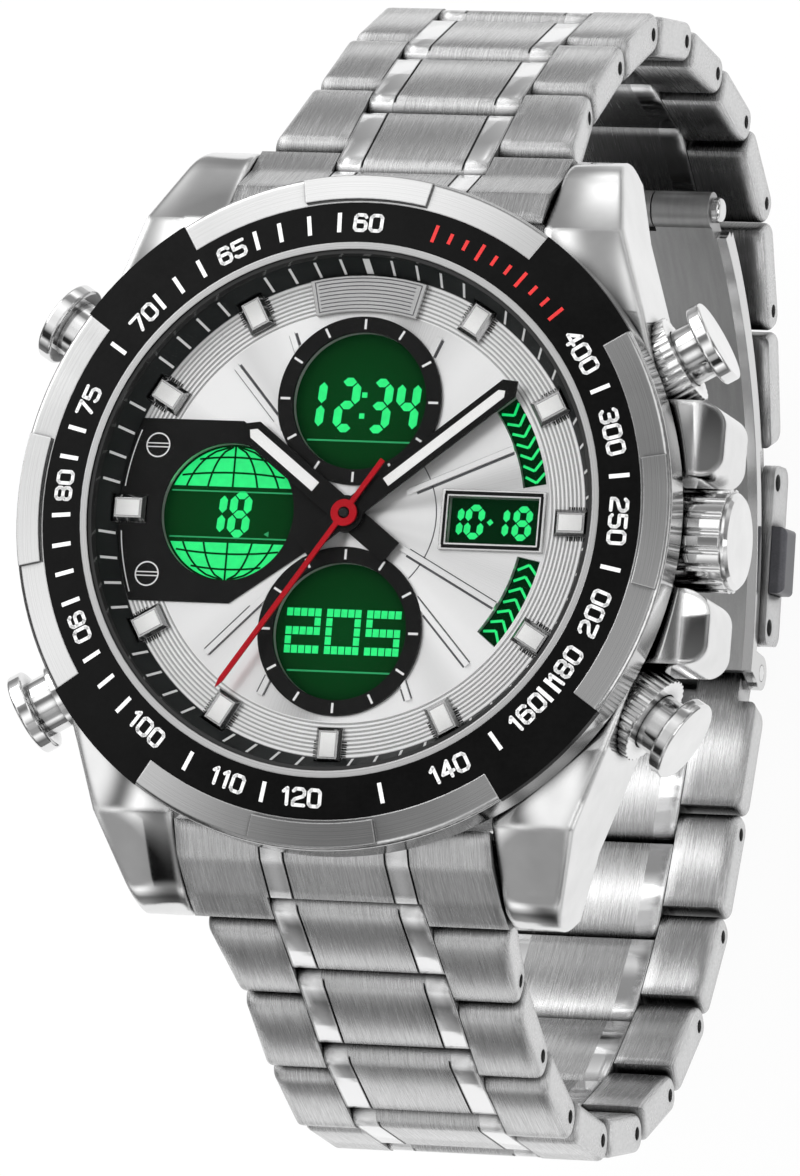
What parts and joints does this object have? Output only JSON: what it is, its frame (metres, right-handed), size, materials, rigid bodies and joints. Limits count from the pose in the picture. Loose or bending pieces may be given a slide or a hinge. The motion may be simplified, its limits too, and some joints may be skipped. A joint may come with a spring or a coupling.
{
  "type": "wristwatch",
  "caption": "Round steel wristwatch with hands and digital displays on its dial, side pushers, crown and a link bracelet with folding clasp.",
  "frame": {"origin": "centre of the wrist opening, on the case axis", "axes": "+Z out of the dial, +Y to 12 o'clock, +X to 3 o'clock and the crown; at rest the bracelet is closed as round a wrist"},
  "size_m": [0.0528, 0.0836, 0.0763],
  "materials": {
    "steel": "brushed lengthwise with polished strips",
    "polished": "polished",
    "black_insert": "black gloss with white numerals",
    "crystal": "clear",
    "gasket": "black",
    "dial_silver": "silver sunburst",
    "black": "black",
    "display": "green display",
    "brass": "plated",
    "board": "circuit board",
    "holder": "moulded",
    "hand": "white with black border",
    "red": "red",
    "battery": "cell can",
    "copper": "wound wire",
    "button": "dark"
  },
  "bodies": {
    "case": {"mid_case": "polished", "end_link_12": "steel", "end_link_6": "steel", "bezel_ring": "polished", "bezel_insert": "black_insert", "crystal": "crystal", "crystal_gasket": "gasket", "minute_track_ring": "black", "dial": "dial_silver", "hour_markers": "polished", "subdial_rings": "black", "side_plate": "black", "date_frame": "polished", "display_panel": "display", "movement_plate": "brass", "circuit_board": "board", "battery": "battery", "stepper_coil": "copper", "movement_holder": "holder", "case_back": "steel", "case_back_seal": "gasket", "case_back_screws": "polished", "crown_tube": "polished", "pusher_collars": "polished"},
    "link_12_1": {"link_12_1": "steel"},
    "link_12_2": {"link_12_2": "steel"},
    "link_12_3": {"link_12_3": "steel"},
    "link_12_4": {"link_12_4": "steel"},
    "link_12_5": {"link_12_5": "steel"},
    "link_12_6": {"link_12_6": "steel"},
    "link_12_7": {"link_12_7": "steel"},
    "link_12_8": {"link_12_8": "steel"},
    "link_12_9": {"link_12_9": "steel"},
    "link_6_1": {"link_6_1": "steel"},
    "link_6_2": {"link_6_2": "steel"},
    "link_6_3": {"link_6_3": "steel"},
    "link_6_4": {"link_6_4": "steel"},
    "link_6_5": {"link_6_5": "steel"},
    "link_6_6": {"link_6_6": "steel"},
    "link_6_7": {"link_6_7": "steel"},
    "link_6_8": {"link_6_8": "steel"},
    "link_6_9": {"link_6_9": "steel"},
    "link_6_10": {"link_6_10": "steel"},
    "inner_blade": {"inner_blade": "steel", "blade_pins": "polished"},
    "middle_blade": {"middle_blade": "steel"},
    "clasp_cover": {"clasp_cover": "steel", "cover_pins": "polished"},
    "clasp_button_right": {"clasp_button_right": "button"},
    "clasp_button_left": {"clasp_button_left": "button"},
    "crown_slide": {"crown_seal": "gasket"},
    "crown": {"crown": "polished", "winding_stem": "polished"},
    "pusher_2": {"pusher_2": "polished"},
    "pusher_4": {"pusher_4": "polished"},
    "pusher_8": {"pusher_8": "polished"},
    "pusher_10": {"pusher_10": "polished"},
    "hour_hand": {"hour_hand": "hand"},
    "minute_hand": {"minute_hand": "hand"},
    "second_hand": {"second_hand": "red"}
  },
  "joints": [
    {"name": "bracelet_6_1", "type": "hinge", "parent": "case", "child": "link_6_1", "pos_m": [0, -0.0259, 0.0295], "axis": [1, 0, 0], "range_deg": [-35, 0]},
    {"name": "bracelet_6_2", "type": "hinge", "parent": "link_6_1", "child": "link_6_2", "pos_m": [0, -0.03012, 0.02219], "axis": [1, 0, 0], "range_deg": [-5, 0]},
    {"name": "bracelet_6_3", "type": "hinge", "parent": "link_6_2", "child": "link_6_3", "pos_m": [0, -0.03447, 0.01496], "axis": [1, 0, 0], "range_deg": [-13, 0]},
    {"name": "bracelet_6_4", "type": "hinge", "parent": "link_6_3", "child": "link_6_4", "pos_m": [0, -0.03776, 0.00719], "axis": [1, 0, 0], "range_deg": [-24, 0]},
    {"name": "bracelet_6_5", "type": "hinge", "parent": "link_6_4", "child": "link_6_5", "pos_m": [0, -0.03835, -0.00123], "axis": [1, 0, 0], "range_deg": [-20, 0]},
    {"name": "bracelet_6_6", "type": "hinge", "parent": "link_6_5", "child": "link_6_6", "pos_m": [0, -0.03674, -0.00952], "axis": [1, 0, 0], "range_deg": [-21, 0]},
    {"name": "bracelet_6_7", "type": "hinge", "parent": "link_6_6", "child": "link_6_7", "pos_m": [0, -0.03291, -0.01704], "axis": [1, 0, 0], "range_deg": [-23, 0]},
    {"name": "bracelet_6_8", "type": "hinge", "parent": "link_6_7", "child": "link_6_8", "pos_m": [0, -0.02694, -0.02301], "axis": [1, 0, 0], "range_deg": [-20, 0]},
    {"name": "bracelet_6_9", "type": "hinge", "parent": "link_6_8", "child": "link_6_9", "pos_m": [0, -0.01963, -0.02722], "axis": [1, 0, 0], "range_deg": [-18, 0]},
    {"name": "bracelet_6_10", "type": "hinge", "parent": "link_6_9", "child": "link_6_10", "pos_m": [0, -0.01156, -0.02969], "axis": [1, 0, 0], "range_deg": [-8, 0]},
    {"name": "clasp_end", "type": "hinge", "parent": "link_6_10", "child": "inner_blade", "pos_m": [0, 0.00119, -0.03287], "axis": [1, 0, 0], "range_deg": [-25, 0]},
    {"name": "clasp_fold", "type": "hinge", "parent": "inner_blade", "child": "middle_blade", "pos_m": [0, 0.0326, -0.01342], "axis": [1, 0, 0], "range_deg": [0, 165]},
    {"name": "cover_fold", "type": "hinge", "parent": "middle_blade", "child": "clasp_cover", "pos_m": [0, 0.0046, -0.03255], "axis": [1, 0, 0], "range_deg": [-165, 0]},
    {"name": "bracelet_12_9", "type": "hinge", "parent": "clasp_cover", "child": "link_12_9", "pos_m": [0, 0.01548, -0.03168], "axis": [1, 0, 0], "range_deg": [-24, 0]},
    {"name": "bracelet_12_8", "type": "hinge", "parent": "link_12_9", "child": "link_12_8", "pos_m": [0, 0.02767, -0.02676], "axis": [1, 0, 0], "range_deg": [-12, 0]},
    {"name": "bracelet_12_7", "type": "hinge", "parent": "link_12_8", "child": "link_12_7", "pos_m": [0, 0.03505, -0.02267], "axis": [1, 0, 0], "range_deg": [-32, 0]},
    {"name": "bracelet_12_6", "type": "hinge", "parent": "link_12_7", "child": "link_12_6", "pos_m": [0, 0.03977, -0.01567], "axis": [1, 0, 0], "range_deg": [-26, 0]},
    {"name": "bracelet_12_5", "type": "hinge", "parent": "link_12_6", "child": "link_12_5", "pos_m": [0, 0.04167, -0.00745], "axis": [1, 0, 0], "range_deg": [-14, 0]},
    {"name": "bracelet_12_4", "type": "hinge", "parent": "link_12_5", "child": "link_12_4", "pos_m": [0, 0.04225, 0.00097], "axis": [1, 0, 0], "range_deg": [-18, 0]},
    {"name": "bracelet_12_3", "type": "hinge", "parent": "link_12_4", "child": "link_12_3", "pos_m": [0, 0.04093, 0.00931], "axis": [1, 0, 0], "range_deg": [-25, 0]},
    {"name": "bracelet_12_2", "type": "hinge", "parent": "link_12_3", "child": "link_12_2", "pos_m": [0, 0.03684, 0.01669], "axis": [1, 0, 0], "range_deg": [-13, 0]},
    {"name": "bracelet_12_1", "type": "hinge", "parent": "link_12_2", "child": "link_12_1", "pos_m": [0, 0.03176, 0.02343], "axis": [1, 0, 0], "range_deg": [-12, 0]},
    {"name": "clasp_button_right_press", "type": "slide", "parent": "clasp_cover", "child": "clasp_button_right", "axis": [-1, 0, 0], "range_m": [0, 0.0006], "stiffness_N_per_m": 700, "springref_m": -0.0008},
    {"name": "clasp_button_left_press", "type": "slide", "parent": "clasp_cover", "child": "clasp_button_left", "axis": [1, 0, 0], "range_m": [0, 0.0006], "stiffness_N_per_m": 700, "springref_m": -0.0008},
    {"name": "crown_pull", "type": "slide", "parent": "case", "child": "crown_slide", "axis": [1, 0, 0], "range_m": [0, 0.0012]},
    {"name": "crown_turn", "type": "hinge", "parent": "crown_slide", "child": "crown", "pos_m": [0.0249, 0, 0.0328], "axis": [1, 0, 0], "continuous": true},
    {"name": "pusher_2_press", "type": "slide", "parent": "case", "child": "pusher_2", "axis": [-0.8625, -0.506, 0], "range_m": [0, 0.0007], "stiffness_N_per_m": 900, "springref_m": -0.001},
    {"name": "pusher_4_press", "type": "slide", "parent": "case", "child": "pusher_4", "axis": [-0.8625, 0.506, 0], "range_m": [0, 0.0007], "stiffness_N_per_m": 900, "springref_m": -0.001},
    {"name": "pusher_8_press", "type": "slide", "parent": "case", "child": "pusher_8", "axis": [0.8625, 0.506, 0], "range_m": [0, 0.0007], "stiffness_N_per_m": 900, "springref_m": -0.001},
    {"name": "pusher_10_press", "type": "slide", "parent": "case", "child": "pusher_10", "axis": [0.8625, -0.506, 0], "range_m": [0, 0.0007], "stiffness_N_per_m": 900, "springref_m": -0.001},
    {"name": "minute_turn", "type": "hinge", "parent": "case", "child": "minute_hand", "pos_m": [0, 0, 0.0388], "axis": [0, 0, -1], "continuous": true},
    {"name": "hour_turn", "type": "hinge", "parent": "case", "child": "hour_hand", "pos_m": [0, 0, 0.0384], "axis": [0, 0, -1], "continuous": true},
    {"name": "second_turn", "type": "hinge", "parent": "case", "child": "second_hand", "pos_m": [0, 0, 0.0392], "axis": [0, 0, -1], "continuous": true}
  ],
  "couplings": [
    {"joint": "cover_fold", "follows": "clasp_fold", "ratio": -1},
    {"joint": "hour_turn", "follows": "minute_turn", "ratio": 0.083333}
  ]
}
